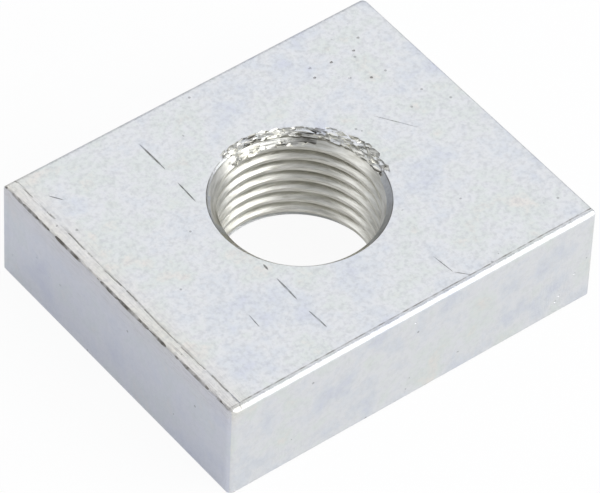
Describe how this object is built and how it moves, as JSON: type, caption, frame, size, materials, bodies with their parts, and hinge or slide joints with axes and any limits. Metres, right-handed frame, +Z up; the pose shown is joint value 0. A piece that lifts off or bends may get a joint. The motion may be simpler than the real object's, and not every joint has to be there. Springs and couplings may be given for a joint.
{
  "type": "t slot nut",
  "caption": "Flat rectangular T slot nut: a cropped steel plate with a tapped, countersunk through hole for a fine-threaded bolt.",
  "frame": {"origin": "middle of the bottom face of the plate, midway between the drawn sides and midway between the cropped ends", "axes": "+Z is up through the plate's thickness, out of the top face, and along the tapped hole. +X runs across the drawn bar from one drawn side to the other, the plate's longest side. +Y runs along the bar, from one cropped end to the other"},
  "size_m": [0.03, 0.0248, 0.008],
  "materials": {
    "zinc_plated_steel": "bright zinc plate with a clear blue passivation over drawn and sheared mild steel"
  },
  "bodies": {
    "root": {"slot_nut": "zinc_plated_steel"}
  },
  "joints": []
}
